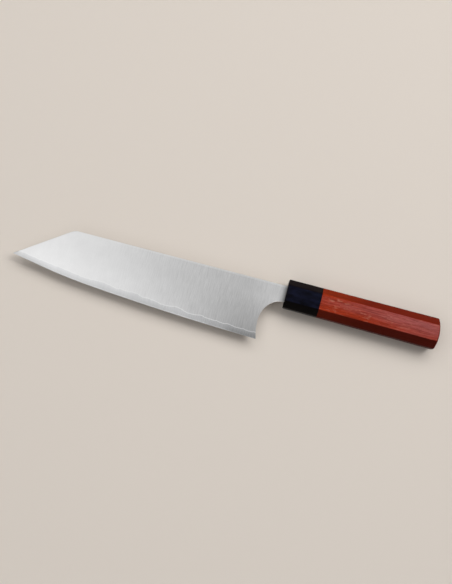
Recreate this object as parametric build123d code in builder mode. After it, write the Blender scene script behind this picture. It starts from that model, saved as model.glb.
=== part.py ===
from build123d import *
import os

# Sizes are in millimetres. The knife lies on its left side: X runs from the tip to the butt,
# Y from the cutting edge to the spine, and Z up through the thickness of the blade.

# Blade, seen from its side
blade_length = 210.0  # tip to heel
blade_height = 48.3  # spine to edge, at the heel
tip_drop = 31.0  # spine line down to the tip
clip_length = 44.2  # tip to the shoulder, where the sloped spine meets the straight one
shoulder_radius = 12.0
neck_length = 14.5  # heel to the front of the ferrule
neck_height = 13.5
waist_drop = 32.9  # spine down to the place where the back of the heel is furthest forward
heel_reach = 2.4  # the corner of the heel stands behind that place
edge_shares = (  # along the blade from the tip, and down from the tip to the heel
    (0.0, 0.0),
    (0.1, 0.21),
    (0.2, 0.405),
    (0.4, 0.64),
    (0.65, 0.835),
    (1.0, 1.0),
)

# Blade, seen from its end
spine_thickness = 2.1  # at the heel
tip_thickness = 1.25  # on the line of the spine, straight above the tip
side_bulge = 0.14  # the ground sides are slightly rounded
bevel_height = 0.6
bevel_thickness = 0.34
spine_edge_radius = 0.3
section_count = 10  # steps from the tip to the heel

# Layers of the blade
core_thickness = 0.4
core_rise = 5.2  # how far above the edge the core shows
core_rise_shares = (  # along the edge, and up from it: the line between the layers is wavy
    (0.0, 0.75),
    (0.14, 0.86),
    (0.22, 1.04),
    (0.28, 0.82),
    (0.36, 1.08),
    (0.43, 1.04),
    (0.48, 1.14),
    (0.58, 0.9),
    (0.66, 1.1),
    (0.7, 0.74),
    (0.73, 0.7),
    (0.77, 1.0),
    (0.84, 1.05),
    (0.91, 0.97),
    (1.0, 1.0),
)

# Tang, with its bedding and the dowel that is split round it
tang_height = 9.5
tang_end_height = 5.0
tang_thickness = 1.8
tang_corner_radius = 1.5
bedding_gap = 0.3
dowel_wall = 0.95  # wood above and below the bedding
dowel_end_length = 4.0  # wood past the end of the tang
bore_end_gap = 1.0

# Handle with eight sides, level at the top and growing towards the butt
handle_length = 128.3  # ferrule and body together
butt_solid_length = 29.8  # wood behind the bore
front_slant = 5.4  # what each slanted facet takes off the height and off the width, at the front
butt_flare = 1.6  # the butt is this much higher and wider than the front
butt_dome_radius = 32.0
butt_edge_radius = 1.2

# Ferrule
ferrule_length = 28.5
ferrule_above_neck = 5.4
ferrule_below_neck = 4.6
ferrule_side_wall = 3.7
ferrule_front_wall = 3.5
ferrule_edge_radius = 1.0
mouth_gap = 0.3  # round the neck

overrun = 20.0  # how far an outline passes what it trims
quarter_turn = 90  # degrees

# Sizes that follow
dowel_diameter = tang_height + 2 * (bedding_gap + dowel_wall)
dowel_length = handle_length - ferrule_front_wall - bore_end_gap - butt_solid_length
tang_length = dowel_length - dowel_end_length
front_height = ferrule_above_neck + neck_height + ferrule_below_neck
front_width = dowel_diameter + 2 * ferrule_side_wall
side_facet = front_height - 2 * front_slant
top_facet = front_width - 2 * front_slant
butt_height = front_height + butt_flare
butt_width = front_width + butt_flare

# Places along the knife: the origin lies under the middle of its whole box
overall_length = blade_length + neck_length + handle_length
tip_x = -overall_length / 2
heel_x = tip_x + blade_length
front_x = heel_x + neck_length
seat_x = front_x + ferrule_front_wall
tang_end_x = seat_x + tang_length
joint_x = front_x + ferrule_length
butt_x = front_x + handle_length

# Places across it
top_y = (ferrule_above_neck + blade_height) / 2
spine_y = top_y - ferrule_above_neck
neck_y = spine_y - neck_height
waist_y = spine_y - waist_drop
tip_y = spine_y - tip_drop
heel_y = spine_y - blade_height
bore_y = top_y - front_height / 2
butt_y = top_y - butt_height / 2
middle_z = butt_width / 2

side_view = Plane.XY.offset(middle_z)


def end_view(x):
    # Plane across the knife, with Y and Z counted from the middle of the thickness
    return Plane(origin=(x, 0, middle_z), x_dir=(0, 1, 0), z_dir=(1, 0, 0))


def slanted_facet(up, side):
    # Plane of one slanted facet of the handle, facing outwards, from three of its corners
    low = Vector(front_x, bore_y + up * side_facet / 2, middle_z + side * front_width / 2)
    high = Vector(front_x, bore_y + up * front_height / 2, middle_z + side * top_facet / 2)
    far = Vector(butt_x, butt_y + up * side_facet / 2, middle_z + side * butt_width / 2)
    along = far - low
    across = high - low
    return Plane(low, x_dir=along, z_dir=along.cross(across) * up * side)


def tang_outline(gap):
    # The tang seen from its side, grown by the gap above, below and at its end
    with BuildSketch() as outline:
        with BuildLine():
            Polyline(
                (seat_x, bore_y + tang_height / 2 + gap),
                (tang_end_x + gap, bore_y + tang_end_height / 2 + gap),
                (tang_end_x + gap, bore_y - tang_end_height / 2 - gap),
                (seat_x, bore_y - tang_height / 2 - gap),
                close=True,
            )
        make_face()
        fillet(outline.vertices().group_by(Axis.X)[-1], radius=tang_corner_radius + gap)
    return outline.sketch


# Cutting edge, from the tip to the heel
with BuildLine() as edge_line:
    Spline(
        *[
            (tip_x + along * blade_length, tip_y + down * (heel_y - tip_y))
            for along, down in edge_shares
        ]
    )

# Sections past both ends run the edge straight on: before the tip, and over the neck into the ferrule
section_step = blade_length / section_count
edge_points = [edge_line.line @ (index / section_count) for index in range(section_count + 1)]
edge_points.insert(0, edge_points[0] - (edge_line.line % 0) * section_step)
while edge_points[-1].X < seat_x:
    edge_points.append(edge_points[-1] + (edge_line.line % 1) * section_step)

# Whole blade with its neck and tang, before it is parted into layers
with BuildPart() as blade:
    for point in edge_points:
        along = (point.X - tip_x) / blade_length
        half_spine = (tip_thickness + (spine_thickness - tip_thickness) * along) / 2
        half_bevel = bevel_thickness / 2
        bevel_y = point.Y + bevel_height
        rounding_y = spine_y - spine_edge_radius
        half_middle = (half_bevel + half_spine) / 2 + side_bulge
        with BuildSketch(end_view(point.X)):
            with BuildLine():
                Line((point.Y, 0), (bevel_y, half_bevel))
                ThreePointArc(
                    (bevel_y, half_bevel),
                    ((bevel_y + rounding_y) / 2, half_middle),
                    (rounding_y, half_spine),
                )
                RadiusArc(
                    (rounding_y, half_spine),
                    (spine_y, half_spine - spine_edge_radius),
                    spine_edge_radius,
                )
                Line((spine_y, half_spine - spine_edge_radius), (spine_y, 0))
                mirror(about=Plane.XZ)
            make_face()
    loft()
    # Outline with the sloped spine at the tip, the hollow behind the heel and the neck
    with BuildSketch(side_view):
        with BuildLine():
            before_tip = Vector(tip_x, tip_y) - Vector(clip_length, tip_drop).normalized() * overrun
            FilletPolyline(
                before_tip,
                (tip_x + clip_length, spine_y),
                (seat_x, spine_y),
                radius=shoulder_radius,
            )
            Polyline((seat_x, spine_y), (seat_x, neck_y), (front_x, neck_y))
            hollow = EllipticalCenterArc(
                (front_x, waist_y),
                neck_length + heel_reach,
                waist_drop - neck_height,
                start_angle=quarter_turn,
                arc_size=quarter_turn,
            )
            heel_back = TangentArc((hollow @ 1, (heel_x, heel_y)), tangent=(0, -1))
            below_heel = heel_back @ 1 + (heel_back % 1) * overrun
            Polyline(heel_back @ 1, below_heel, (before_tip.X, below_heel.Y), before_tip)
        make_face()
    extrude(amount=middle_z, both=True, mode=Mode.INTERSECT)
    with BuildSketch(side_view):
        add(tang_outline(0))
    extrude(amount=tang_thickness / 2, both=True)

# Space of the right cladding: beside the core, and above the wavy line where the core comes out
with BuildPart() as cladding_space:
    with BuildSketch(side_view.offset(core_thickness / 2)):
        with BuildLine():
            wavy_line = Spline(
                *[edge_line.line @ along + Vector(0, rise * core_rise) for along, rise in core_rise_shares]
            )
            Polyline(
                wavy_line @ 1,
                (butt_x, (wavy_line @ 1).Y),
                (butt_x, top_y),
                (tip_x, top_y),
                wavy_line @ 0,
            )
        make_face()
    extrude(amount=middle_z)

with BuildPart() as cladding_right:
    add(blade.part)
    add(cladding_space.part, mode=Mode.INTERSECT)

with BuildPart() as cladding_left:
    add(cladding_right.part)
    mirror(about=side_view, mode=Mode.REPLACE)

with BuildPart() as core_steel:
    add(blade.part)
    add(cladding_right.part, mode=Mode.SUBTRACT)
    add(cladding_left.part, mode=Mode.SUBTRACT)

# Handle before it is parted: a tapered block with its four long edges taken off
with BuildPart() as handle_blank:
    with BuildSketch(side_view):
        with BuildLine():
            Polyline(
                (front_x, top_y),
                (butt_x, top_y),
                (butt_x, top_y - butt_height),
                (front_x, top_y - front_height),
                close=True,
            )
        make_face()
    extrude(amount=middle_z, both=True)
    with BuildSketch(Plane.XZ):
        with BuildLine():
            Polyline(
                (front_x, middle_z + front_width / 2),
                (butt_x, middle_z + butt_width / 2),
                (butt_x, middle_z - butt_width / 2),
                (front_x, middle_z - front_width / 2),
                close=True,
            )
        make_face()
    extrude(amount=top_y, both=True, mode=Mode.INTERSECT)
    for up in (1, -1):
        for side in (1, -1):
            split(bisect_by=slanted_facet(up, side), keep=Keep.BOTTOM)

# Ferrule, with a slot for the neck and a bore for the dowel
with BuildPart() as mouth:
    with BuildSketch(end_view(front_x)):
        with Locations(((spine_y + neck_y) / 2, 0)):
            Rectangle(neck_height + 2 * mouth_gap, spine_thickness + 2 * mouth_gap)
    extrude(amount=ferrule_front_wall)

with BuildPart() as ferrule:
    add(handle_blank.part)
    split(bisect_by=end_view(joint_x), keep=Keep.BOTTOM)
    fillet(ferrule.faces().sort_by(Axis.X)[0].edges(), radius=ferrule_edge_radius)
    add(mouth.part, mode=Mode.SUBTRACT)
    with BuildSketch(end_view(seat_x)):
        with Locations((bore_y, 0)):
            Circle(dowel_diameter / 2)
    extrude(amount=ferrule_length, mode=Mode.SUBTRACT)

with BuildPart() as mouth_seal:
    add(mouth.part)
    add(blade.part, mode=Mode.SUBTRACT)

# Dowel, split round the tang, and the bedding between the two
with BuildPart() as slot:
    with BuildSketch(side_view):
        add(tang_outline(bedding_gap))
    extrude(amount=tang_thickness / 2 + bedding_gap, both=True)

with BuildPart() as dowel_right_half:
    with BuildSketch(end_view(seat_x)):
        with Locations((bore_y, 0)):
            Circle(dowel_diameter / 2)
    extrude(amount=dowel_length)
    add(slot.part, mode=Mode.SUBTRACT)
    split(bisect_by=side_view, keep=Keep.TOP)

with BuildPart() as dowel_left_half:
    add(dowel_right_half.part)
    mirror(about=side_view, mode=Mode.REPLACE)

with BuildPart() as tang_bedding:
    add(slot.part)
    add(blade.part, mode=Mode.SUBTRACT)

# Handle body, with a blind bore and a butt that is domed square to the handle's own axis
with BuildPart() as butt_waste:
    butt_centre = Vector(butt_x, butt_y, middle_z)
    handle_axis = (butt_centre - Vector(front_x, bore_y, middle_z)).normalized()
    with BuildSketch(end_view(butt_x - butt_dome_radius / 2)):
        with Locations((butt_y, 0)):
            Rectangle(2 * butt_height, 2 * butt_width)
    extrude(amount=butt_dome_radius + overrun)
    with Locations(butt_centre - handle_axis * butt_dome_radius):
        Sphere(butt_dome_radius, rotation=(0, 0, 2 * quarter_turn), mode=Mode.SUBTRACT)

with BuildPart() as handle_body:
    add(handle_blank.part)
    split(bisect_by=end_view(joint_x), keep=Keep.TOP)
    add(butt_waste.part, mode=Mode.SUBTRACT)
    fillet(handle_body.faces().sort_by(Axis.X)[-1].edges(), radius=butt_edge_radius)
    with BuildSketch(end_view(joint_x)):
        with Locations((bore_y, 0)):
            Circle(dowel_diameter / 2)
    extrude(amount=seat_x + dowel_length + bore_end_gap - joint_x, mode=Mode.SUBTRACT)

os.makedirs("parts", exist_ok=True)
core_steel.part.label = "core_steel"
export_step(core_steel.part, "parts/core_steel.step")
cladding_right.part.label = "cladding_right"
export_step(cladding_right.part, "parts/cladding_right.step")
cladding_left.part.label = "cladding_left"
export_step(cladding_left.part, "parts/cladding_left.step")
ferrule.part.label = "ferrule"
export_step(ferrule.part, "parts/ferrule.step")
mouth_seal.part.label = "mouth_seal"
export_step(mouth_seal.part, "parts/mouth_seal.step")
dowel_right_half.part.label = "dowel_right_half"
export_step(dowel_right_half.part, "parts/dowel_right_half.step")
dowel_left_half.part.label = "dowel_left_half"
export_step(dowel_left_half.part, "parts/dowel_left_half.step")
tang_bedding.part.label = "tang_bedding"
export_step(tang_bedding.part, "parts/tang_bedding.step")
handle_body.part.label = "handle_body"
export_step(handle_body.part, "parts/handle_body.step")
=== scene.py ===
import bpy
import bmesh
import math
import numpy as np
from mathutils import Matrix, Vector


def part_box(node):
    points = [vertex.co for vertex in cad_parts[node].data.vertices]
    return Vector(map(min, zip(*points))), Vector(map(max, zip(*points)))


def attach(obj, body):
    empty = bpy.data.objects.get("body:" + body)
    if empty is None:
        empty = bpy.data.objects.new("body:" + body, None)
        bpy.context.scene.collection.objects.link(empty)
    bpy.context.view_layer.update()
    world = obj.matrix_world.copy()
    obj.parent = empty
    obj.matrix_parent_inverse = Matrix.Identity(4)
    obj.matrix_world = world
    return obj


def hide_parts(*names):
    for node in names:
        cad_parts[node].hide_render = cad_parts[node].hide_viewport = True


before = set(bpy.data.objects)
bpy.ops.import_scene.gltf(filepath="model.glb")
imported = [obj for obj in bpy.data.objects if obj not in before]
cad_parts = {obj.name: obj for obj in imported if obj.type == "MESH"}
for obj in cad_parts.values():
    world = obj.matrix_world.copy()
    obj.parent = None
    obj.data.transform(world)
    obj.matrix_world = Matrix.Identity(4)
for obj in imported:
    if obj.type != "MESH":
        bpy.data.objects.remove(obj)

for spare in ("Cube", "Light", "Camera"):  # Blender's own start-up objects
    if spare in bpy.data.objects:
        bpy.data.objects.remove(bpy.data.objects[spare])
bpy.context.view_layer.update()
print("frame loaded:", ", ".join(sorted(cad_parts)))

mm = 0.001  # everything below is in millimetres until it becomes a mesh
sameSpot = 2e-6  # metres: points closer together than this become one
noLength = 1e-7  # metres: shorter edges are dropped
sharpFrom = 28  # degrees between two faces, from which the edge between them shows sharp


def nodeBox(node):
    low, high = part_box(node)
    return np.array(low) / mm, np.array(high) / mm


def addObject(name, data):
    thing = bpy.data.objects.new(name, data)
    bpy.context.scene.collection.objects.link(thing)
    return thing


# shapes
def curveThrough(points):
    # smooth line through a few points, asked for by a share of its length
    points = np.array(points, float)
    knots = np.concatenate([[0], np.cumsum(np.linalg.norm(np.diff(points, axis=0), axis=1))])
    knots /= knots[-1]
    steps = np.diff(knots)
    count = len(points)
    table = np.eye(count)
    bends = np.zeros_like(points)
    for i in range(1, count - 1):
        table[i, i - 1:i + 2] = steps[i - 1], 2 * (steps[i - 1] + steps[i]), steps[i]
        after = (points[i + 1] - points[i]) / steps[i]
        before = (points[i] - points[i - 1]) / steps[i - 1]
        bends[i] = 6 * (after - before)
    bends = np.linalg.solve(table, bends)

    def at(share):
        i = int(np.clip(np.searchsorted(knots, share) - 1, 0, count - 2))
        a = (knots[i + 1] - share) / steps[i]
        b = 1 - a
        bend = (a ** 3 - a) * bends[i] + (b ** 3 - b) * bends[i + 1]
        return a * points[i] + b * points[i + 1] + bend * steps[i] ** 2 / 6

    return at


def skin(name, loops, endless=False, rows=None):
    # closed mesh over loops that all have the same number of points; rows are the marks of each loop
    mesh = bmesh.new()
    layers = {key: mesh.verts.layers.float.new(key) for key in (rows[0] if rows else ())}
    rings = []
    for i, loop in enumerate(loops):
        ring = [mesh.verts.new(Vector(p) * mm) for p in loop]
        for key, layer in layers.items():
            for vert, value in zip(ring, rows[i][key]):
                vert[layer] = value
        rings.append(ring)
    pairs = list(zip(rings, rings[1:]))
    if endless:
        pairs.append((rings[-1], rings[0]))
    for a, b in pairs:
        for k in range(len(a)):
            n = (k + 1) % len(a)
            mesh.faces.new((a[k], a[n], b[n], b[k]))
    if not endless:
        mesh.faces.new(rings[0][::-1])
        mesh.faces.new(rings[-1])
    bmesh.ops.remove_doubles(mesh, verts=mesh.verts, dist=sameSpot)
    bmesh.ops.dissolve_degenerate(mesh, edges=mesh.edges, dist=noLength)
    bmesh.ops.recalc_face_normals(mesh, faces=mesh.faces)
    data = bpy.data.meshes.new(name)
    mesh.to_mesh(data)
    mesh.free()
    data.shade_smooth()
    data.set_sharp_from_angle(angle=math.radians(sharpFrom))
    return addObject(name, data)


def rimDrop(distance, radius):
    # how far a rounded rim has fallen at this distance from it
    if distance >= radius or radius <= 0:
        return 0
    return radius - math.sqrt(radius ** 2 - (radius - distance) ** 2)


# blade
bladeLook = {
    "length": 210.0,  # tip to heel
    "tipDrop": 31.0,
    "clipLength": 44.2,
    "shoulderRadius": 12.0,
    "waistDrop": 32.9,
    "heelReach": 2.4,
    "edgeShares": ((0, 0), (0.1, 0.21), (0.2, 0.405), (0.4, 0.64), (0.65, 0.835), (1, 1)),
    "edgeSamples": 600,
    "spineThickness": 2.1,
    "tipThickness": 1.25,
    "sideBulge": 0.14,
    "bevelHeight": 0.6,
    "bevelThickness": 0.34,
    "edgeHalf": 0.008,  # half the thickness of the cutting edge itself
    "coreThickness": 0.4,
    "mouthGap": 0.3,
    "spineRounding": 0.12,
    "backRounding": 0.25,  # clip and the hollow behind the heel
    "roundingLimit": 0.7,  # a rounding takes no more than this share of the half thickness
    "tangHeight": 9.5,
    "tangEndHeight": 5.0,
    "tangThickness": 1.8,
    "tangCorner": 1.5,
    "tangStep": 0.05,  # the neck turns into the tang within this length
    "tangPoints": 5,
    "tangTurns": (0.25, 0.5, 0.75, 0.95, 1),  # shares of a quarter turn, round its corners
    # lines across the blade that carry its mesh: upright at first, then fanned out round the hollow
    "stationStep": 1.5,
    "tipSteps": (0.3, 0.8),
    "weldOut": 20.0,  # the weld line leaves the sloped spine within this distance of the tip
    "leanStart": 25.0,  # before the heel, on the edge
    "leanPoints": 18,
    "heelTop": 15.5,  # before the heel, on the spine
    "cornerTop": 2.8,  # further back on the spine, where the weld line meets the hollow
    "cornerStep": 0.4,
    "waistTop": 0.7,
    "heelBackPoints": 15,
    "hollowPoints": 27,
    "sidePoints": 12,
    "roundSteps": (0, 0.03, 0.09, 0.17, 0.26, 0.5),  # distances from a rounded end
    "roundShare": 0.4,  # most of a short line that these distances take up, at both ends together
    "bandPoints": 11,
    "bevelShares": (0.03, 0.4),  # least and most of the bare band that the bevel takes
    "farBack": 9.0,  # a mark for points that aren't near the hollow
    "weldRise": 5.2,
    # along the edge, and the height of the weld line as a share of weldRise
    "weldShares": (
        (0, 0.75), (0.14, 0.84), (0.2, 0.94), (0.25, 0.92), (0.3, 0.86), (0.34, 1.0), (0.4, 1.06),
        (0.425, 0.9), (0.455, 1.02), (0.48, 1.02), (0.505, 1.18), (0.53, 0.98), (0.57, 0.98), (0.6, 0.86),
        (0.635, 0.8), (0.66, 1.0), (0.68, 1.1), (0.7, 0.9), (0.717, 0.74), (0.745, 0.77), (0.775, 0.95),
        (0.8, 0.82), (0.83, 0.86), (0.866, 0.8), (0.895, 0.91), (0.914, 0.76), (0.94, 0.85), (0.96, 0.79),
        (0.98, 0.85), (1, 0.85),
    ),
    "weldSamples": 900,
    "weldRipple": 0.12,  # small unevenness of that line
    "weldWaves": ((0.83, 1, 1), (1.37, 2.2, 0.7), (0.41, 0, 0.5)),  # radians per mm, shift, share
}

coreLow, coreHigh = nodeBox("core_steel")
sealLow, sealHigh = nodeBox("mouth_seal")
tipX, heelX = coreLow[0], coreLow[0] + bladeLook["length"]
heelY, spineY = coreLow[1], nodeBox("cladding_right")[1][1]
tipY = spineY - bladeLook["tipDrop"]
neckY = sealLow[1] + bladeLook["mouthGap"]
frontX, seatX = sealLow[0], sealHigh[0]
tangEndX = coreHigh[0]
middleZ = (coreLow[2] + coreHigh[2]) / 2
waistX = heelX - bladeLook["heelReach"]
waistY = spineY - bladeLook["waistDrop"]
bedLow, bedHigh = nodeBox("tang_bedding")
boreY = (bedLow[1] + bedHigh[1]) / 2

edgeCurve = curveThrough(
    [(tipX + a * bladeLook["length"], tipY + d * (heelY - tipY)) for a, d in bladeLook["edgeShares"]]
)
edgeRun = np.array([edgeCurve(s) for s in np.linspace(0, 1, bladeLook["edgeSamples"])])
edgeSlope = (edgeRun[-1, 1] - edgeRun[-2, 1]) / (edgeRun[-1, 0] - edgeRun[-2, 0])
weldCurve = curveThrough(
    [edgeCurve(a) + np.array([0, r * bladeLook["weldRise"]]) for a, r in bladeLook["weldShares"]]
)
weldRun = np.array([weldCurve(s) for s in np.linspace(0, 1, bladeLook["weldSamples"])])


def edgeY(x):
    if x > heelX:
        return edgeRun[-1, 1] + edgeSlope * (x - heelX)
    return float(np.interp(x, edgeRun[:, 0], edgeRun[:, 1]))


def weldY(x):
    ripple = sum(share * math.sin(x * rate + shift) for rate, shift, share in bladeLook["weldWaves"])
    return float(np.interp(x, weldRun[:, 0], weldRun[:, 1])) + bladeLook["weldRipple"] * ripple


def upperY(x):
    slope = math.atan2(bladeLook["tipDrop"], bladeLook["clipLength"])
    radius = bladeLook["shoulderRadius"]
    reach = radius * math.tan(slope / 2)
    shoulder = tipX + bladeLook["clipLength"]
    if x <= shoulder - reach * math.cos(slope):
        return tipY + (x - tipX) * math.tan(slope)
    if x >= shoulder + reach:
        return spineY
    return spineY - radius + math.sqrt(radius ** 2 - (x - shoulder - reach) ** 2)


def halfThickness(x, y):
    # the blade's own half thickness at a place on its side
    along = (x - tipX) / bladeLook["length"]
    tip, heel = bladeLook["tipThickness"], bladeLook["spineThickness"]
    spine = (tip + (heel - tip) * along) / 2
    bevel = bladeLook["bevelThickness"] / 2
    above = y - edgeY(x)
    if above < bladeLook["bevelHeight"]:
        return max(bevel * above / bladeLook["bevelHeight"], bladeLook["edgeHalf"])
    top = spineY - bladeLook["spineRounding"]
    share = min((above - bladeLook["bevelHeight"]) / (top - edgeY(x) - bladeLook["bevelHeight"]), 1)
    return bevel + (spine - bevel) * share + 4 * bladeLook["sideBulge"] * share * (1 - share)


def choilLine():
    # from the corner of the heel, up the hollow, to the neck at the ferrule
    drop, reach = waistY - heelY, heelX - waistX
    radius = (drop ** 2 + reach ** 2) / (2 * reach)
    start = math.asin(drop / radius)
    run = []
    for share in np.linspace(0, 1, bladeLook["heelBackPoints"]):
        turn = start * (1 - share)
        run.append((waistX + radius - radius * math.cos(turn), waistY - radius * math.sin(turn)))
    for share in np.linspace(0, 1, bladeLook["hollowPoints"])[1:]:
        turn = math.pi / 2 * share
        x = frontX - (frontX - waistX) * math.cos(turn)
        run.append((x, waistY + (neckY - waistY) * math.sin(turn)))
    return np.array(run)


def stationAt(low, high, rounding=0.0, tang=False):
    # one line across the blade: its lower end, where it crosses the weld line, its upper end
    low, high = np.array(low, float), np.array(high, float)
    share = 0.0
    rise = high[1] - low[1]
    for _ in range(0 if tang else 6):  # each round comes closer to the crossing
        x = low[0] + (high[0] - low[0]) * share
        share = (weldY(x) - low[1]) / rise if rise > 0.01 else 1
        share = min(max(share, 0), 1)
    weld = low + (high - low) * share
    return {"low": low, "high": high, "weld": weld, "rounding": rounding, "tang": tang}


def bladeStations():
    # where the weld line runs out of the sloped spine, near the tip
    before, crossing = tipX, tipX + bladeLook["weldOut"]
    for _ in range(40):  # halved until nothing is left of the gap
        middle = (before + crossing) / 2
        if weldY(middle) > upperY(middle):
            before = middle
        else:
            crossing = middle
    leanX, heelTopX = heelX - bladeLook["leanStart"], heelX - bladeLook["heelTop"]
    xs = set(np.round(np.arange(tipX, leanX, bladeLook["stationStep"]), 3))
    xs |= {tipX, crossing, *(tipX + step for step in bladeLook["tipSteps"])}
    stations = [stationAt((x, edgeY(x)), (x, upperY(x))) for x in sorted(xs)]
    first = sorted(xs).index(crossing)
    for share in np.linspace(0, 1, bladeLook["leanPoints"]):
        x = leanX + (heelX - leanX) * share
        stations.append(stationAt((x, edgeY(x)), (leanX + (heelTopX - leanX) * share, spineY)))
    stations[-1]["low"][1] = heelY
    # up the back of the heel and round the hollow; the cladding starts where the weld line meets it
    choil = choilLine()
    way = np.concatenate([[0], np.cumsum(np.linalg.norm(np.diff(choil, axis=0), axis=1))])
    cornerWay = float(np.interp(0, choil[:, 1] - [weldY(x) for x in choil[:, 0]], way))
    waistWay = way[bladeLook["heelBackPoints"] - 1]
    topWays = (0, cornerWay, waistWay, way[-1])
    tops = (heelTopX, heelTopX + bladeLook["cornerTop"], waistX - bladeLook["waistTop"], frontX)
    for w in sorted(set(way[1:]) | {cornerWay, cornerWay + bladeLook["cornerStep"]}):
        low = (np.interp(w, way, choil[:, 0]), np.interp(w, way, choil[:, 1]))
        stations.append(stationAt(low, (np.interp(w, topWays, tops), spineY), min(w / cornerWay, 1)))
        if w >= cornerWay - 1e-6:
            stations[-1]["weld"] = stations[-1]["low"].copy()
    for x in ((frontX + seatX) / 2, seatX):
        stations.append(stationAt((x, neckY), (x, spineY), 1))
        stations[-1]["weld"] = stations[-1]["low"].copy()
    # tang, with rounded corners at its end
    corner, height, endHeight = (bladeLook[key] for key in ("tangCorner", "tangHeight", "tangEndHeight"))
    tangXs = np.linspace(seatX + bladeLook["tangStep"], tangEndX - corner, bladeLook["tangPoints"])
    turns = [math.pi / 2 * share for share in bladeLook["tangTurns"]]
    tangXs = [*tangXs, *(tangEndX - corner * (1 - math.sin(turn)) for turn in turns)]
    for x in tangXs:
        share = (x - seatX) / (tangEndX - seatX)
        half = (height + (endHeight - height) * share) / 2 - rimDrop(tangEndX - x, corner)
        stations.append(stationAt((x, boreY - half), (x, boreY + half), tang=True))
    return stations, first


def surfaceZ(station, point):
    if station["tang"]:
        return bladeLook["tangThickness"] / 2
    high = halfThickness(point[0], point[1])
    lowGap = np.linalg.norm(point - station["low"])
    highGap = np.linalg.norm(point - station["high"])
    level = point[0] > tipX + bladeLook["clipLength"]
    drop = rimDrop(highGap, bladeLook["spineRounding"] if level else bladeLook["backRounding"])
    drop += rimDrop(lowGap, bladeLook["backRounding"]) * station["rounding"]
    return max(high - min(drop, high * bladeLook["roundingLimit"]), bladeLook["edgeHalf"])


def spread(length):
    # shares along a line, close together at its two rounded ends
    if length == 0:
        return [0] * (2 * len(bladeLook["roundSteps"]) + bladeLook["sidePoints"])
    steps = bladeLook["roundSteps"]
    scale = min(1, bladeLook["roundShare"] * length / (2 * steps[-1]))
    begin = [step * scale for step in steps]
    finish = [length - step * scale for step in reversed(steps)]
    middle = list(np.linspace(begin[-1], finish[0], bladeLook["sidePoints"] + 2))[1:-1]
    return [distance / length for distance in begin + middle + finish]


def markRow(station, points):
    # heights above the weld line and the edge, and the distance from the hollow behind the heel
    if station["rounding"] > 0:
        fromBack = [float(np.linalg.norm(p - station["low"])) for p in points]
    else:
        fromBack = [bladeLook["farBack"]] * len(points)
    return {
        "aboveWeld": [p[1] - weldY(p[0]) for p in points],
        "aboveEdge": [p[1] - edgeY(p[0]) for p in points],
        "fromBack": fromBack,
    }


def buildCladding(name, stations, side):
    loops, rows = [], []
    for station in stations:
        low, high = station["weld"], station["high"]
        length = float(np.linalg.norm(high - low))
        inner = min(bladeLook["coreThickness"] / 2, halfThickness(*low))
        outer = [low + (high - low) * share for share in spread(length)]
        points = outer + [high, low]
        heights = [max(surfaceZ(station, p), inner) for p in outer] + [inner, inner]
        loops.append([(p[0], p[1], middleZ + side * z) for p, z in zip(points, heights)])
        rows.append(markRow(station, points))
    return skin(name, loops, rows=rows)


def buildCore(name, stations):
    # bare band below the weld line on both sides, and the flat sides under the cladding
    loops, rows = [], []
    for station in stations:
        low, weld, high = station["low"], station["weld"], station["high"]
        length = float(np.linalg.norm(weld - low))
        inner = topInner = bladeLook["coreThickness"] / 2
        if not station["tang"]:
            inner = min(inner, halfThickness(*weld))
            topInner = min(inner, halfThickness(*high))
        if length > 0:
            bevel = (edgeY(low[0]) + bladeLook["bevelHeight"] - low[1]) / length
            bevel = float(np.clip(bevel, *bladeLook["bevelShares"]))
            above = np.linspace(bevel, 1, bladeLook["bandPoints"] - 2)[1:]
            band = [low + (weld - low) * share for share in (0, bevel / 2, bevel, *above)]
            heights = [surfaceZ(station, p) for p in band]
        else:
            band = [low] * bladeLook["bandPoints"]
            heights = [inner] * len(band)
        row = list(zip(band + [weld, high], heights + [inner, topInner]))
        loop = row + [(p, -z) for p, z in reversed(row)]
        loops.append([(p[0], p[1], middleZ + z) for p, z in loop])
        rows.append(markRow(station, [p for p, z in loop]))
    return skin(name, loops, rows=rows)


stations, firstClad = bladeStations()
blade = {
    "core": buildCore("blade_core", stations),
    "right": buildCladding("blade_cladding_right", stations[firstClad:], 1),
    "left": buildCladding("blade_cladding_left", stations[firstClad:], -1),
}
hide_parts("core_steel")
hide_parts("cladding_right")
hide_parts("cladding_left")
print("blade made:", len(stations), "stations")

# ferrule and handle
gripLook = {
    "frontHeight": 23.5,
    "frontWidth": 19.4,
    "flare": 1.6,
    "sideFacet": 12.7,
    "topFacet": 8.6,
    "arris": 0.35,  # rounding of the eight long edges
    "arrisBulge": 0.6,  # how full that rounding is
    "ferruleRim": 1.0,
    "rimSoftening": 0.5,  # the long edges get rounder towards the rim
    "slotCorner": 0.1,
    "slotArris": 0.02,
    "jointBevel": 0.12,
    "boreWidth": 12.0,
    "boreEndGap": 1.0,  # past the end of the dowel
    "domeRadius": 32.0,
    "domeDrop": 1.4,  # the butt leans a little: its dome has its middle below the handle's
    "buttRim": 1.2,
    # loops of the mesh: over the ferrule's rim, along the ferrule, and along the wood
    "rimLoops": 6,
    "ferruleLoops": 8,
    "lengthSteps": 25,
    # then round the butt's rim, and inwards over its dome
    "rimShares": (0.17, 0.34, 0.5, 0.67, 0.84, 1),
    "domeShares": (0.93, 0.84, 0.72, 0.58, 0.42, 0.25, 0.1, 0.02),
}

jointX = nodeBox("ferrule")[1][0]
buttX, topY = nodeBox("handle_body")[1][:2]
boreEndX = nodeBox("dowel_right_half")[1][0] + gripLook["boreEndGap"]


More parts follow.
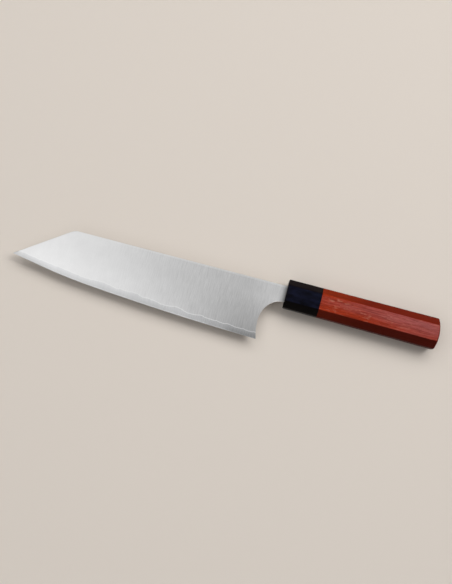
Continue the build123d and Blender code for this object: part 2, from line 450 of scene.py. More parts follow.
def facetLoop(x, midY, height, width, sideFacet, topFacet, radius):
    # section with eight sides and eased corners, always the same number of points
    corners = []
    for up, side in ((-1, 1), (1, 1), (1, -1), (-1, -1)):
        pair = [(up * sideFacet / 2, side * width / 2), (up * height / 2, side * topFacet / 2)]
        corners += pair[::-1] if up * side < 0 else pair
    corners = [np.array(c) for c in corners]
    loop = []
    for i, corner in enumerate(corners):
        back, ahead = corners[i - 1] - corner, corners[(i + 1) % 8] - corner
        back, ahead = back / np.linalg.norm(back), ahead / np.linalg.norm(ahead)
        half = math.acos(float(np.clip(back @ ahead, -1, 1))) / 2
        cut = radius / math.tan(half)
        start, end = corner + back * cut, corner + ahead * cut
        bulge = (corner - (start + end) / 2) * (1 - math.sin(half)) * gripLook["arrisBulge"]
        for share in (0, 0.5, 1):
            loop.append(start + (end - start) * share + bulge * 4 * share * (1 - share))
        nextStart = corners[(i + 1) % 8] - ahead * cut
        for share in (0.25, 0.5, 0.75):
            loop.append(end + (nextStart - end) * share)
    return [(x, midY + p[0], middleZ + p[1]) for p in loop]


def handleLoop(x, inset=0.0, radius=None):
    # the handle's own section at a place along it, shrunk by an inset
    share = (x - frontX) / (buttX - frontX)
    height = gripLook["frontHeight"] + gripLook["flare"] * share
    width = gripLook["frontWidth"] + gripLook["flare"] * share
    midY = topY - height / 2
    shorter = inset * (math.sqrt(2) - 1) * 2  # what the inset takes off each facet
    return facetLoop(
        x, midY, height - 2 * inset, width - 2 * inset, gripLook["sideFacet"] - shorter,
        gripLook["topFacet"] - shorter, gripLook["arris"] if radius is None else radius,
    )


def roundLoop(x, like, midY, radius):
    # circle whose points stand at the same bearings as another loop's
    ring = []
    for p in like:
        turn = math.atan2(p[1] - midY, p[2] - middleZ)
        ring.append((x, midY + radius * math.sin(turn), middleZ + radius * math.cos(turn)))
    return ring


def buildFerrule():
    # from the slot over the rim and along the outside to the joint, then back through the bore
    rim, bevel, corner = gripLook["ferruleRim"], gripLook["jointBevel"], gripLook["slotCorner"]
    slotHeight, slotWidth = sealHigh[1] - sealLow[1], sealHigh[2] - sealLow[2]
    slotY = (sealHigh[1] + sealLow[1]) / 2
    slot = (slotY, slotHeight, slotWidth, slotHeight - corner, slotWidth - corner, gripLook["slotArris"])
    loops = [facetLoop(frontX, *slot)]
    for turn in np.linspace(0, math.pi / 2, gripLook["rimLoops"]):
        inset = rim * (1 - math.sin(turn))
        radius = gripLook["arris"] + gripLook["rimSoftening"] * inset
        loops.append(handleLoop(frontX + rim * (1 - math.cos(turn)), inset, radius))
    for share in np.linspace(0, 1, gripLook["ferruleLoops"])[1:-1]:
        loops.append(handleLoop(frontX + rim + (jointX - frontX - rim) * share))
    loops += [handleLoop(jointX - bevel), handleLoop(jointX, bevel)]
    bore = gripLook["boreWidth"] / 2
    loops += [roundLoop(jointX, loops[-1], boreY, bore), roundLoop(seatX, loops[-1], boreY, bore)]
    loops.append(facetLoop(seatX, *slot))
    return skin("ferrule_horn_piece", loops, endless=True)


def buildHandle():
    # from the end of the bore to the joint, along the outside, over the rim and across the dome
    bevel, rim, dome = gripLook["jointBevel"], gripLook["buttRim"], gripLook["domeRadius"]
    bore = gripLook["boreWidth"] / 2
    outer = handleLoop(jointX, bevel)
    loops = [roundLoop(boreEndX, outer, boreY, bore), roundLoop(jointX, outer, boreY, bore)]
    loops += [outer, handleLoop(jointX + bevel)]
    middleY = topY - (gripLook["frontHeight"] + gripLook["flare"]) / 2
    domeY = middleY - gripLook["domeDrop"]

    def domeX(y, z):
        return buttX - dome + math.sqrt(dome ** 2 - (y - domeY) ** 2 - (z - middleZ) ** 2)

    def shrunk(point, inset):
        scale = 1 - inset / math.hypot(point[1] - middleY, point[2] - middleZ)
        return middleY + (point[1] - middleY) * scale, middleZ + (point[2] - middleZ) * scale

    side = handleLoop(buttX)
    lean = [math.asin(math.hypot(p[1] - domeY, p[2] - middleZ) / dome) for p in side]
    starts = []  # where the rim's rounding begins, for each point of the section
    for p, a in zip(side, lean):
        y, z = shrunk(p, rim * (1 - math.sin(a)))
        starts.append(domeX(y, z) - rim * math.cos(a))
    for share in np.linspace(0, 1, gripLook["lengthSteps"] + 1)[1:]:
        ring = []
        for k, start in enumerate(starts):
            x = jointX + bevel + (start - jointX - bevel) * share
            ring.append((x, *handleLoop(x)[k][1:]))
        loops.append(ring)
    rimStart = loops[-1]
    for share in gripLook["rimShares"]:
        ring = []
        for p, a, start in zip(rimStart, lean, starts):
            turn = (math.pi / 2 - a) * share
            y, z = shrunk(p, rim * (1 - math.cos(turn)))
            ring.append((start + rim * math.sin(turn), y, z))
        loops.append(ring)
    rimEnd = loops[-1]
    for share in gripLook["domeShares"]:
        ring = [(middleY + (p[1] - middleY) * share, middleZ + (p[2] - middleZ) * share) for p in rimEnd]
        loops.append([(domeX(y, z), y, z) for y, z in ring])
    return skin("handle_wood_piece", loops)


ferrule = buildFerrule()
handle = buildHandle()
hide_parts("ferrule")
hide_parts("handle_body")
for piece in (*blade.values(), ferrule, handle):
    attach(piece, "root")
print("ferrule and handle made")


# materials
def newMaterial(name):
    material = bpy.data.materials.new(name)
    material.use_nodes = True
    tree = material.node_tree
    return material, tree, tree.nodes["Principled BSDF"]


def feed(tree, socket, value):
    # an output is linked to the socket, a number or a colour stands on it
    if isinstance(value, bpy.types.NodeSocket):
        tree.links.new(value, socket)
    else:
        socket.default_value = (*value, 1) if socket.type == "RGBA" else value


def setUp(tree, node, settings):
    # what has a socket's name goes to that socket, anything else is a setting of the node
    for key, value in settings.items():
        if key in node.inputs:
            feed(tree, node.inputs[key], value)
        else:
            setattr(node, key, value)
    return node


def addNode(tree, kind, **settings):
    return setUp(tree, tree.nodes.new(kind), settings)


def rangeOf(tree, value, *limits):
    # the limits are two values that may come in, and what they turn into
    keys = ("Value", "From Min", "From Max", "To Min", "To Max")
    node = tree.nodes.new("ShaderNodeMapRange")
    return setUp(tree, node, dict(zip(keys, (value, *limits)))).outputs["Result"]


def mathOf(tree, operation, *values, kind="ShaderNodeMath"):
    node = addNode(tree, kind, operation=operation)
    for socket, value in zip(node.inputs, values):
        feed(tree, socket, value)
    return node.outputs[0]


def sumOf(tree, first, *others):
    for other in others:
        first = mathOf(tree, "ADD", first, other)
    return first


def timesOf(tree, first, *others):
    for other in others:
        first = mathOf(tree, "MULTIPLY", first, other)
    return first


def noiseTo(tree, noise, low, high):
    # nearly all of a noise lies between 0.3 and 0.7
    return rangeOf(tree, noise, 0.3, 0.7, low, high)


def fade(tree, axis, start, stop, low=0, high=1):
    # ramp between two places on an axis, given in millimetres
    return rangeOf(tree, axis, start * mm, stop * mm, low, high)


def mixColour(tree, share, a, b, way="MIX"):
    node = addNode(tree, "ShaderNodeMix", data_type="RGBA", blend_type=way)
    for i, value in ((0, share), (6, a), (7, b)):
        feed(tree, node.inputs[i], value)
    return node.outputs[2]


def vectorOf(tree, x, y, z):
    return addNode(tree, "ShaderNodeCombineXYZ", X=x, Y=y, Z=z).outputs[0]


def shadedBy(tree, colour, factor):
    return mixColour(tree, 1.0, colour, vectorOf(tree, factor, factor, factor), "MULTIPLY")


def placeOf(tree):
    return tree.nodes.new("ShaderNodeTexCoord").outputs["Object"]


def axesOf(tree, vector):
    return addNode(tree, "ShaderNodeSeparateXYZ", Vector=vector).outputs


def stretchedNoise(tree, scale, detail, rough, shift=(0, 0, 0), lean=0.0):
    # noise with its own number of features per metre along each axis, leaning across the side
    mapping = addNode(
        tree, "ShaderNodeMapping", Vector=placeOf(tree), Scale=scale, Location=shift,
        Rotation=(0, 0, math.radians(lean)),
    )
    vector = mapping.outputs["Vector"]
    noise = addNode(tree, "ShaderNodeTexNoise", Vector=vector, Scale=1, Detail=detail, Roughness=rough)
    return noise.outputs["Fac"]


def bumpFrom(tree, height, strength, distance):
    bump = addNode(tree, "ShaderNodeBump", Height=height, Strength=strength, Distance=distance)
    return bump.outputs["Normal"]


def newGroup(name, ins, outs):
    group = bpy.data.node_groups.new(name, "ShaderNodeTree")
    for label, start in ins:
        socket = group.interface.new_socket(label, in_out="INPUT", socket_type="NodeSocketFloat")
        socket.default_value = start
    for label in outs:
        group.interface.new_socket(label, in_out="OUTPUT", socket_type="NodeSocketFloat")
    return group, group.nodes.new("NodeGroupInput").outputs, group.nodes.new("NodeGroupOutput").inputs


def placeGroup(tree, group, values):
    node = addNode(tree, "ShaderNodeGroup", node_tree=group)
    return setUp(tree, node, values).outputs


def attributeOf(tree, name):
    return addNode(tree, "ShaderNodeAttribute", attribute_name=name).outputs["Fac"]


def makeStreakGroup():
    # satin scratches that run across the blade, and broader uneven patches
    group, start, end = newGroup(
        "satinStreaks",
        (("Per metre along", 500), ("Per metre across", 50), ("Patches per metre", 60)),
        ("Streaks", "Patches"),
    )
    size = vectorOf(group, start["Per metre along"], start["Per metre across"], start["Per metre across"])
    stretched = mathOf(group, "MULTIPLY", placeOf(group), size, kind="ShaderNodeVectorMath")
    streaks = addNode(group, "ShaderNodeTexNoise", Vector=stretched, Scale=1, Detail=5, Roughness=0.72)
    patches = addNode(group, "ShaderNodeTexNoise", Vector=placeOf(group), Detail=4, Roughness=0.6)
    feed(group, patches.inputs["Scale"], start["Patches per metre"])
    feed(group, end["Streaks"], streaks.outputs["Fac"])
    feed(group, end["Patches"], patches.outputs["Fac"])
    return group


def makeWeldGroup():
    # the hard core shows below the weld line, which wanders a little on the ground side
    group, start, end = newGroup(
        "weldBand",
        (
            ("Above weld", 0), ("Above edge", 0), ("Wander", 0.3), ("Wanders per metre", 200),
            ("Core from", 0.15), ("Core to", -0.15), ("Least band", 0.1), ("Line height", 0.8),
            ("Line from", 1.0), ("Line to", 0.2),
        ),
        ("Core", "Depth", "Line"),
    )
    along = timesOf(group, axesOf(group, placeOf(group))["X"], start["Wanders per metre"])
    noise = addNode(group, "ShaderNodeTexNoise", noise_dimensions="1D", Scale=1, Detail=4, Roughness=0.7)
    feed(group, noise.inputs["W"], along)
    swing = noiseTo(group, noise.outputs["Fac"], -1, 1)
    above = sumOf(group, start["Above weld"], timesOf(group, swing, start["Wander"]))
    feed(group, end["Core"], rangeOf(group, above, start["Core from"], start["Core to"], 0, 1))
    band = mathOf(group, "SUBTRACT", start["Above edge"], above)
    band = mathOf(group, "MAXIMUM", band, start["Least band"])
    feed(group, end["Depth"], mathOf(group, "DIVIDE", start["Above edge"], band))
    half = timesOf(group, start["Line height"], 0.5)
    off = mathOf(group, "ABSOLUTE", mathOf(group, "SUBTRACT", above, half))
    off = mathOf(group, "DIVIDE", off, half)
    feed(group, end["Line"], rangeOf(group, off, start["Line from"], start["Line to"], 0, 1))
    return group


def makeFacetGroup():
    # which way a face of the handle or ferrule looks: sideways, out of the butt, or towards the edge
    group, start, end = newGroup(
        "facetMasks",
        (
            ("Side from", 0.8), ("Side to", 0.93), ("End from", 0.45), ("End to", 0.7),
            ("Below from", -0.4), ("Below to", -0.6),
        ),
        ("Side", "End", "Below"),
    )
    facing = axesOf(group, group.nodes.new("ShaderNodeNewGeometry").outputs["Normal"])
    ways = {"Side": mathOf(group, "ABSOLUTE", facing["Z"]), "End": facing["X"], "Below": facing["Y"]}
    for way, value in ways.items():
        feed(group, end[way], rangeOf(group, value, start[way + " from"], start[way + " to"], 0, 1))
    return group


streakGroup, weldGroup, facetGroup = makeStreakGroup(), makeWeldGroup(), makeFacetGroup()

steelLook = {
    "cladding": (0.765, 0.766, 0.768),
    "core": (0.752, 0.757, 0.764),
    "roughness": (0.32, 0.37),
    "scratches": (1300, 90),  # per metre, along the blade and across it
    "scratchBump": (0.2, 0.00004),  # strength, and depth in metres
    "streaks": (0.022, 0.11),  # how much the scratches show, near the tip and near the heel
    "patchesPerMetre": 110,
    "patches": 0.022,
    "wander": 0.22,
    "wandersPerMetre": 330,
    "lineHeight": 1.0,
    "line": (0.04, 0.34),  # brightness of the weld line in the tip half and at the heel
    "bandAtEdgeWithPaintedShade": -0.29,  # how much darker the bare core is than the cladding at the edge: its own duller tone, and painted shade where the bevel curves away
    "bandAtWeld": -0.06,
    "palerBand": 0.6,  # how much of that goes again in the stretch before the heel
    "heelPaintedShade": -0.385,  # painted shade, a darker reflection in the heel's lower corner
    "tilt": 0.045,  # painted sheen that runs slantwise, lighter towards the edge in the back half
    "lowPaintedSheen": 0.075,  # painted sheen on the lower part of the front half
    # painted highlight: the neck lighter towards the ferrule
    "neckPaintedHighlight": 0.2,
    # painted highlight along the spine, growing towards the heel
    "spinePaintedHighlight": 0.15,
    # painted highlight along the rounded rim of the hollow behind the heel
    "hollowRimPaintedHighlight": 0.13,
    "mouthPaintedShade": -0.82,  # painted shade: darker steel in the corner at the ferrule, where the ferrule shades it
    # ramps along the blade, from and to a distance before the heel
    "heelwardRamp": (150, 50),
    "lineRamp": (110, 35),
    "palerRise": (84, 63),
    "palerFall": (30, 19),
    "heelRamp": (70, 0),
    "paintedSheenRise": (135, 75),
    "paintedSheenFall": (30, 0),
    "lowRise": (200, 175),
    "lowFall": (115, 75),
    # ramps from and to a height, or a distance
    "heelHeights": (8, -20),
    "paintedSheenHeights": (-20, 6),
    "lowHeights": (8, -8),
    "spineDepths": (1.9, 0.9),  # below the spine
    "neckReach": (15, 3),  # from this far before the heel to this far before the ferrule
    "mouthReach": 6.0,
    "mouthPower": 1.5,
    "backReach": (1.3, 0.4),
}


def makeSteel(name, colour):
    look = steelLook
    material, tree, shader = newMaterial(name)
    streaks = placeGroup(tree, streakGroup, {
        "Per metre along": look["scratches"][0],
        "Per metre across": look["scratches"][1],
        "Patches per metre": look["patchesPerMetre"],
    })
    weld = placeGroup(tree, weldGroup, {
        "Wander": look["wander"],
        "Wanders per metre": look["wandersPerMetre"],
        "Line height": look["lineHeight"],
        "Above weld": attributeOf(tree, "aboveWeld"),
        "Above edge": attributeOf(tree, "aboveEdge"),
    })
    place = axesOf(tree, placeOf(tree))

    def beforeHeel(ramp, low=0, high=1):
        return fade(tree, place["X"], heelX - look[ramp][0], heelX - look[ramp][1], low, high)

    # scratches, which show more towards the heel, and broad patches
    swing = noiseTo(tree, streaks["Streaks"], -1, 1)
    swing = timesOf(tree, swing, beforeHeel("heelwardRamp", *look["streaks"]))
    drift = noiseTo(tree, streaks["Patches"], -look["patches"], look["patches"])
    # bare core, darker by its own tone and by painted shade towards the edge, and the bright weld line
    # above it
    band = rangeOf(tree, weld["Depth"], 0, 1, look["bandAtEdgeWithPaintedShade"], look["bandAtWeld"])
    paler = timesOf(tree, beforeHeel("palerRise", 0, look["palerBand"]), beforeHeel("palerFall", 1, 0))
    band = timesOf(tree, band, weld["Core"], mathOf(tree, "SUBTRACT", 1, paler))
    line = timesOf(tree, weld["Line"], beforeHeel("lineRamp", *look["line"]))
    # painted shade and painted sheen, uneven over the side
    # painted shade in the heel's lower corner
    heel = fade(tree, place["Y"], *look["heelHeights"], 0, look["heelPaintedShade"])
    heel = timesOf(tree, heel, beforeHeel("heelRamp"))
    # painted sheen, slantwise over the back half
    tilt = fade(tree, place["Y"], *look["paintedSheenHeights"], -look["tilt"], look["tilt"])
    tilt = timesOf(tree, tilt, beforeHeel("paintedSheenRise", 0, -1), beforeHeel("paintedSheenFall", 1, 0))
    # painted sheen on the lower front half
    paintedLowSheen = fade(tree, place["Y"], *look["lowHeights"], 0, look["lowPaintedSheen"])
    paintedLowSheen = timesOf(tree, paintedLowSheen, beforeHeel("lowRise"), beforeHeel("lowFall", 1, 0))
    # painted highlights on the neck, spine and rim of the hollow, and painted shade at the ferrule
    neckFrom, neckTo = heelX - look["neckReach"][0], frontX - look["neckReach"][1]
    neck = fade(tree, place["X"], neckFrom, neckTo, 0, look["neckPaintedHighlight"])
    spineFrom, spineTo = (spineY - depth for depth in look["spineDepths"])
    # painted highlight along the spine
    spine = fade(tree, place["Y"], spineFrom, spineTo, 0, look["spinePaintedHighlight"])
    spine = timesOf(tree, spine, beforeHeel("heelwardRamp"))
    # painted highlight on the rim of the hollow
    rim = rangeOf(tree, attributeOf(tree, "fromBack"), *look["backReach"], 0, look["hollowRimPaintedHighlight"])
    # painted shade at the ferrule
    paintedMouthShade = fade(tree, place["X"], frontX - look["mouthReach"], frontX)
    paintedMouthShade = timesOf(tree, mathOf(tree, "POWER", paintedMouthShade, look["mouthPower"]), look["mouthPaintedShade"])
    tone = sumOf(tree, swing, drift, band, line, heel, tilt, paintedLowSheen, neck, spine, rim, paintedMouthShade, 1.0)
    setUp(tree, shader, {
        "Base Color": shadedBy(tree, colour, tone),
        "Metallic": 1,
        "Roughness": noiseTo(tree, streaks["Streaks"], *look["roughness"]),
        "Normal": bumpFrom(tree, streaks["Streaks"], *look["scratchBump"]),
    })
    return material


claddingSteel = makeSteel("satinCladding", steelLook["cladding"])
coreSteel = makeSteel("hardCore", steelLook["core"])

woodLook = {
    "red": (0.34, 0.034, 0.010),  # side facets: clear red near the ferrule, with a pinkish painted sheen that grows towards the butt
    "paintedPinkSheen": (0.335, 0.090, 0.084),
    "pinkAtFront": -0.4,
    "pinkAtButt": 0.55,
    "pinkBeforeButt": 10,
    "pinkUpward": 0.42,  # more of that painted sheen on the half towards the spine
    "upwardDepths": (7, 0.5),  # below the middle of the bore
    "pinkUneven": (-0.45, 0.35),
    "slope": (0.158, 0.0100, 0.0008),  # the slanted facets are cut across the grain, and deeper; part of that depth is painted shade
    "slopeFront": (0.275, 0.024, 0.0020),
    "slopeFade": 0.45,  # that front colour is gone at this share of the way to the butt
    "paintedShadeBelow": 0.37,  # and darker still on the side of the edge, as painted shade
    "grain": (0.13, 0.010, 0.006),
    "grainFrom": (0.38, 0.72),  # where in its noise the grain begins and is full
    "grainShare": 0.6,
    "grainDepth": (1.08, 0.84),
    "fleck": (0.50, 0.19, 0.13),
    "fleckFrom": (0.57, 0.68),
    "fleckShare": 0.6,
    "fleckPatches": (0.4, 0.58),
    "fleckLeast": 0.2,  # share of the flecks left outside their patches
    "fleckAtButt": 0.4,  # and towards the butt
    "fleckFade": 0.8,  # reached at this share of the way to the butt
    "fleckTurn": 11,  # degrees that the flecks lie across the grain
    "pore": (0.05, 0.005, 0.003),
    "poreFrom": (0.62, 0.72),
    "poreShare": 0.65,
    "endGrain": (0.085, 0.008, 0.003),
    "endPale": (0.20, 0.020, 0.008),
    "ringShare": 0.55,
    "dotFrom": (0.35, 0.65),
    "dotShare": 0.45,
    "pith": (26.0, 17.0),  # from the middle of the bore, towards the edge and the lower side
    "ringGap": 2.1,
    "ringWobble": 2.4,
    "lean": 1.6,  # degrees between the grain and the handle
    "roughness": (0.36, 0.50),
    "gloss": 0.06,
    "bump": (0.25, 0.00006),
    # noises: features per metre along the handle and across it, detail, roughness, shift
    "broadNoise": ((16, 150, 150), 4, 0.6, (0, 0, 0)),
    "grainNoise": ((60, 900, 900), 4, 0.65, (3, 1, 2)),
    "poreNoise": ((350, 3200, 3200), 2, 0.5, (7, 5, 1)),
    "fleckNoise": ((190, 900, 900), 2, 0.5, (1, 8, 4)),
    "patchNoise": ((45, 90, 90), 2, 0.5, (4, 2, 9)),
    "wobbleNoise": ((60, 110, 110), 3, 0.6, (6, 2, 3)),
    "dotNoise": ((300, 2200, 2200), 3, 0.6, (2, 2, 2)),
}


def endGrainOf(tree, place):
    # growth rings round a pith that lies outside the handle, and open pores
    look = woodLook
    pithY, pithZ = (boreY - look["pith"][0]) * mm, (middleZ - look["pith"][1]) * mm
    offY, offZ = mathOf(tree, "SUBTRACT", place["Y"], pithY), mathOf(tree, "SUBTRACT", place["Z"], pithZ)
    square = sumOf(tree, timesOf(tree, offY, offY), timesOf(tree, offZ, offZ))
    wobble = timesOf(tree, stretchedNoise(tree, *look["wobbleNoise"]), look["ringWobble"] * mm)
    reach = sumOf(tree, mathOf(tree, "POWER", square, 0.5), wobble)
    wave = mathOf(tree, "SINE", timesOf(tree, reach, 2 * math.pi / (look["ringGap"] * mm)))
    dots = rangeOf(tree, stretchedNoise(tree, *look["dotNoise"]), *look["dotFrom"], 0, look["dotShare"])
    rings = sumOf(tree, rangeOf(tree, wave, -1, 1, 0, look["ringShare"]), dots)
    return mixColour(tree, rings, look["endGrain"], look["endPale"])


def makeHandleWood():
    look = woodLook
    material, tree, shader = newMaterial("redHandleWood")
    masks = placeGroup(tree, facetGroup, {})
    place = axesOf(tree, placeOf(tree))
    lean = look["lean"]
    broad = stretchedNoise(tree, *look["broadNoise"], lean)
    fine = stretchedNoise(tree, *look["grainNoise"], lean)
    pores = stretchedNoise(tree, *look["poreNoise"], lean)
    flecks = stretchedNoise(tree, *look["fleckNoise"], lean - look["fleckTurn"])
    patches = stretchedNoise(tree, *look["patchNoise"])
    buttward = fade(tree, place["X"], jointX, buttX - look["pinkBeforeButt"])
    upFrom, upTo = (boreY - depth for depth in look["upwardDepths"])
    # side facets, from clear red to a pinkish painted sheen
    paintedPinkSheen = sumOf(
        tree, rangeOf(tree, buttward, 0, 1, look["pinkAtFront"], look["pinkAtButt"]),
        fade(tree, place["Y"], upFrom, upTo, 0, look["pinkUpward"]),
        noiseTo(tree, broad, *look["pinkUneven"]),
    )
    side = mixColour(tree, rangeOf(tree, paintedPinkSheen, 0, 1, 0, 1), look["red"], look["paintedPinkSheen"])
    # slanted facets, partly darkened by painted shade
    deeper = rangeOf(tree, buttward, 0, look["slopeFade"], 0, 1)
    slope = mixColour(tree, deeper, look["slopeFront"], look["slope"])
    # painted shade on the slanted facets that face the edge
    slope = shadedBy(tree, slope, rangeOf(tree, masks["Below"], 0, 1, 1, look["paintedShadeBelow"]))
    colour = mixColour(tree, masks["Side"], slope, side)
    # grain, pale flecks and dark pores
    grain = rangeOf(tree, fine, *look["grainFrom"], 0, look["grainShare"])
    colour = mixColour(tree, grain, colour, look["grain"])
    pale = timesOf(
        tree, rangeOf(tree, flecks, *look["fleckFrom"], 0, look["fleckShare"]),
        rangeOf(tree, patches, *look["fleckPatches"], look["fleckLeast"], 1), masks["Side"],
        rangeOf(tree, buttward, 0, look["fleckFade"], 1, look["fleckAtButt"]),
    )
    colour = mixColour(tree, pale, colour, look["fleck"])
    dark = rangeOf(tree, pores, *look["poreFrom"], 0, look["poreShare"])
    colour = mixColour(tree, dark, colour, look["pore"])
    colour = shadedBy(tree, colour, noiseTo(tree, fine, *look["grainDepth"]))
    colour = mixColour(tree, masks["End"], colour, endGrainOf(tree, place))
    setUp(tree, shader, {
        "Base Color": colour,
        "Roughness": noiseTo(tree, fine, *look["roughness"]),
        "Specular IOR Level": look["gloss"],
        "Normal": bumpFrom(tree, mathOf(tree, "SUBTRACT", fine, dark), *look["bump"]),
    })
    return material


hornLook = {
    "side": (0.0012, 0.0012, 0.0030),
    # painted reflection: bluish clouds on the side facets
    "paintedNavySheen": (0.0052, 0.0062, 0.0165),
    "navyFrom": (0.38, 0.66),
    "slope": (0.0040, 0.0020, 0.0032),
    # painted shade on the slanted facets that face the edge
    "paintedShadeBelow": 0.15,
    "cloud": (0.0085, 0.0055, 0.0052),  # brownish clouds, strongest on the slanted facets
    "cloudFrom": (0.42, 0.7),
    "cloudShare": 0.9,
    "cloudOnSide": 0.12,
    "roughness": (0.30, 0.42),
    "gloss": 0.05,
    "bump": (0.15, 0.00003),
    "cloudNoise": ((70, 220, 220), 4, 0.6, (2, 3, 5)),
    "fineNoise": ((250, 1400, 1400), 3, 0.6, (5, 1, 5)),
    "navyNoise": ((90, 190, 190), 3, 0.55, (8, 3, 1)),
    "navyTurn": -12,
}


def makeHorn():
    look = hornLook
    material, tree, shader = newMaterial("darkHorn")
    masks = placeGroup(tree, facetGroup, {})
    clouds = stretchedNoise(tree, *look["cloudNoise"])
    fine = stretchedNoise(tree, *look["fineNoise"])
    # bluish painted reflection on the side facets
    paintedNavySheen = stretchedNoise(tree, *look["navyNoise"], look["navyTurn"])
    side = mixColour(tree, rangeOf(tree, paintedNavySheen, *look["navyFrom"], 0, 1), look["side"], look["paintedNavySheen"])
    # painted shade on the facets that face the edge, which also dims the clouds there
    below = rangeOf(tree, masks["Below"], 0, 1, 1, look["paintedShadeBelow"])
    colour = mixColour(tree, masks["Side"], shadedBy(tree, look["slope"], below), side)
    cloud = timesOf(
        tree, rangeOf(tree, clouds, *look["cloudFrom"], 0, look["cloudShare"]), below,
        rangeOf(tree, masks["Side"], 0, 1, 1, look["cloudOnSide"]),
    )
    colour = mixColour(tree, cloud, colour, look["cloud"])
    setUp(tree, shader, {
        "Base Color": colour,
        "Roughness": noiseTo(tree, fine, *look["roughness"]),
        "Specular IOR Level": look["gloss"],
        "Normal": bumpFrom(tree, fine, *look["bump"]),
    })
    return material


dowelLook = {
    "dark": (0.62, 0.47, 0.29),
    "pale": (0.72, 0.58, 0.40),
    "grainNoise": ((80, 1800, 1800), 3, 0.6),
    "roughness": 0.7,
    "bump": (0.2, 0.00005),
}


def makeDowelWood():
    look = dowelLook
    material, tree, shader = newMaterial("paleDowelWood")
    fine = stretchedNoise(tree, *look["grainNoise"])
    setUp(tree, shader, {
        "Base Color": mixColour(tree, noiseTo(tree, fine, 0, 1), look["dark"], look["pale"]),
        "Roughness": look["roughness"],
        "Normal": bumpFrom(tree, fine, *look["bump"]),
    })
    return material


resinLook = {
    "dark": (0.012, 0.011, 0.011),
    "pale": (0.026, 0.023, 0.021),
    "cloudNoise": ((500, 500, 500), 3, 0.5),
    "roughness": (0.35, 0.5),
    "gloss": 0.25,
    "bump": (0.2, 0.00003),
}


def makeResin():
    look = resinLook
    material, tree, shader = newMaterial("setResin")
    cloud = stretchedNoise(tree, *look["cloudNoise"])
    setUp(tree, shader, {
        "Base Color": mixColour(tree, cloud, look["dark"], look["pale"]),
        "Roughness": noiseTo(tree, cloud, *look["roughness"]),
        "Specular IOR Level": look["gloss"],
        "Normal": bumpFrom(tree, cloud, *look["bump"]),
    })
    return material


def dress(piece, material):
    piece.data.materials.clear()
    piece.data.materials.append(material)


dress(blade["core"], coreSteel)
dress(blade["right"], claddingSteel)
dress(blade["left"], claddingSteel)
dress(handle, makeHandleWood())
dress(ferrule, makeHorn())
dowelWood, resin = makeDowelWood(), makeResin()
innerMaterials = {
    "dowel_right_half": dowelWood, "dowel_left_half": dowelWood, "tang_bedding": resin, "mouth_seal": resin,
}
for node, material in innerMaterials.items():
    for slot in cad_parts[node].material_slots:
        slot.material = material
print("materials made")

# camera
cameraLook = {
    "azimuth": 14.876,
    "elevation": 82.5,
    "distance": 0.81545,
    "lens": 61.64,
    "aim": (0.000578, 0.004134, 0.010),
    "clipEnd": 20,
}
turn = math.radians(cameraLook["azimuth"])
tilt = math.radians(90 - cameraLook["elevation"])
right = Vector((math.cos(turn), math.sin(turn), 0))
ahead = Vector((-math.sin(turn), math.cos(turn), 0))
above = Vector((0, 0, 1))
back = -math.sin(tilt) * ahead + math.cos(tilt) * above
up = math.cos(tilt) * ahead + math.sin(tilt) * above
place = Matrix((right, up, back)).transposed().to_4x4()
place.translation = Vector(cameraLook["aim"]) + back * cameraLook["distance"]
camera = addObject("camera", bpy.data.cameras.new("camera"))
camera.matrix_world = place
camera.data.lens = cameraLook["lens"]
camera.data.clip_end = cameraLook["clipEnd"]
bpy.context.scene.camera = camera

# floor and light
studioLook = {
    "floorColour": (0.70, 0.635, 0.57),
    "floorBounce": (0.42, 0.31, 0.25),  # what the floor throws back on to the knife
    "floorSize": 8.0,
    "floorRoughness": 0.9,
    "floorGloss": 0.1,
    "worldColour": (0.95, 0.97, 1.0),
    "worldStrength": (0.22, 0.02),  # at the horizon, and overhead
    "worldHeights": (0.1, 0.8),
    "surround": 0.98,  # the room has the floor's colour at this level: seen and mirrored, but no light
    "surroundHeights": (0.2, 0.75),
    "floorFade": (0.35, 0.9),  # metres from the knife, over which the floor turns into that room
    # name, right, up and height of the middle in metres, width, depth, radiance
    "slantedLamps": (  # turned towards the knife; no lamp is mirrored
        ("eastKey", 1.5, 0.4, 1.9, 0.9, 0.9, 8.2),
        ("northEastPanel", 1.0, 1.1, 1.9, 1.6, 1.6, 2.8),
        ("northPanel", -0.2, 1.7, 1.9, 2.4, 1.0, 1.9),
    ),
    "levelLamps": (
        ("leftPanel", -1.0, 0.2, 1.6, 1.4, 0.9, 1.14),
        ("leftCeiling", -0.9, -0.3, 1.65, 1.6, 1.3, 0.56),
        ("leftLowPanel", -0.6, -1.3, 1.6, 1.6, 0.9, 1.1),
    ),
    "cards": (  # a ceiling below the lamps that gives no light: it is what the steel mirrors
        ("farLeftCard", -1.125, 0.19, 1.5, 0.75, 1.5, 1.25),
        ("leftCard", -0.515, 0.19, 1.5, 0.47, 1.5, 1.27),
        ("middleCard", -0.045, 0.19, 1.5, 0.47, 1.5, 0.542),
        ("rightCard", 0.565, 0.19, 1.5, 0.75, 1.5, 0.422),
        ("lowCard", -0.28, -0.94, 1.5, 2.44, 0.75, 1.27),
        ("highCard", -0.28, 1.315, 1.5, 2.44, 0.75, 0.95),
    ),
}


def seenRays(tree):
    path = tree.nodes.new("ShaderNodeLightPath").outputs
    seen = mathOf(tree, "MAXIMUM", path["Is Camera Ray"], path["Is Glossy Ray"])
    return mathOf(tree, "MAXIMUM", seen, path["Is Transmission Ray"])


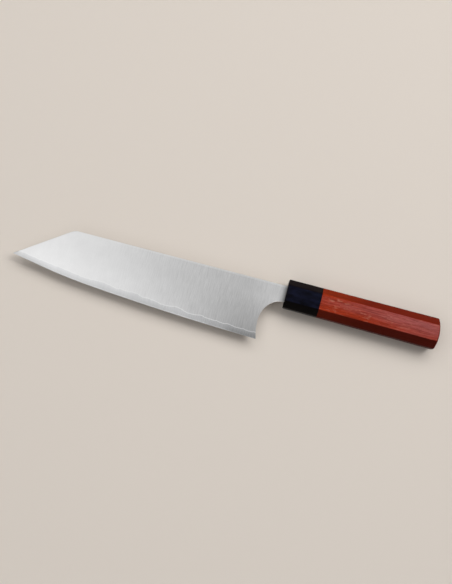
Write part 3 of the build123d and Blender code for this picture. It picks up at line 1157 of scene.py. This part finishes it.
def makeFloor():
    mesh = bmesh.new()
    bmesh.ops.create_grid(mesh, x_segments=4, y_segments=4, size=studioLook["floorSize"] / 2)
    data = bpy.data.meshes.new("floor")
    mesh.to_mesh(data)
    mesh.free()
    material, tree, shader = newMaterial("plainFloor")
    seen = seenRays(tree)
    reach = addNode(tree, "ShaderNodeVectorMath", operation="LENGTH", Vector=placeOf(tree)).outputs["Value"]
    far = rangeOf(tree, reach, *studioLook["floorFade"], 0, 1)
    colour = mixColour(tree, seen, studioLook["floorBounce"], studioLook["floorColour"])
    black = (0, 0, 0)
    setUp(tree, shader, {
        "Base Color": mixColour(tree, far, colour, black),
        "Emission Color": mixColour(tree, timesOf(tree, seen, far), black, studioLook["floorColour"]),
        "Emission Strength": studioLook["surround"],
        "Roughness": studioLook["floorRoughness"],
        "Specular IOR Level": studioLook["floorGloss"],
    })
    data.materials.append(material)
    addObject("floor", data)


def makeLight(name, toRight, toUp, height, width, depth, radiance, slanted=False, mirrored=False):
    data = bpy.data.lights.new(name, "AREA")
    data.shape = "RECTANGLE"
    data.size, data.size_y = width, depth
    data.energy = radiance * math.pi * width * depth
    light = addObject(name, data)
    middle = right * toRight + ahead * toUp + above * height
    aim = -middle.normalized() if slanted else -above
    facing = aim.to_track_quat("-Z", "Y").to_matrix().to_4x4()
    light.matrix_world = Matrix.Translation(middle) @ facing
    light.visible_camera = False
    light.visible_diffuse = not mirrored
    light.visible_glossy = light.visible_transmission = mirrored


def makeWorld():
    # a dim room: a little light from the walls, almost none from the ceiling
    world = bpy.data.worlds.new("studio")
    world.use_nodes = True
    tree = world.node_tree
    background = tree.nodes["Background"]
    height = axesOf(tree, tree.nodes.new("ShaderNodeTexCoord").outputs["Generated"])["Z"]
    light = rangeOf(tree, height, *studioLook["worldHeights"], *studioLook["worldStrength"])
    surround = rangeOf(tree, height, *studioLook["surroundHeights"], studioLook["surround"], 0)
    seen = seenRays(tree)
    setUp(tree, background, {
        "Strength": mathOf(tree, "MAXIMUM", light, timesOf(tree, surround, seen)),
        "Color": mixColour(tree, seen, studioLook["worldColour"], studioLook["floorColour"]),
    })
    bpy.context.scene.world = world


makeFloor()
for row in studioLook["slantedLamps"]:
    makeLight(*row, slanted=True)
for row in studioLook["levelLamps"]:
    makeLight(*row)
for row in studioLook["cards"]:
    makeLight(*row, mirrored=True)
makeWorld()
bpy.context.scene.view_settings.view_transform = "Standard"
print("camera, floor and light made")
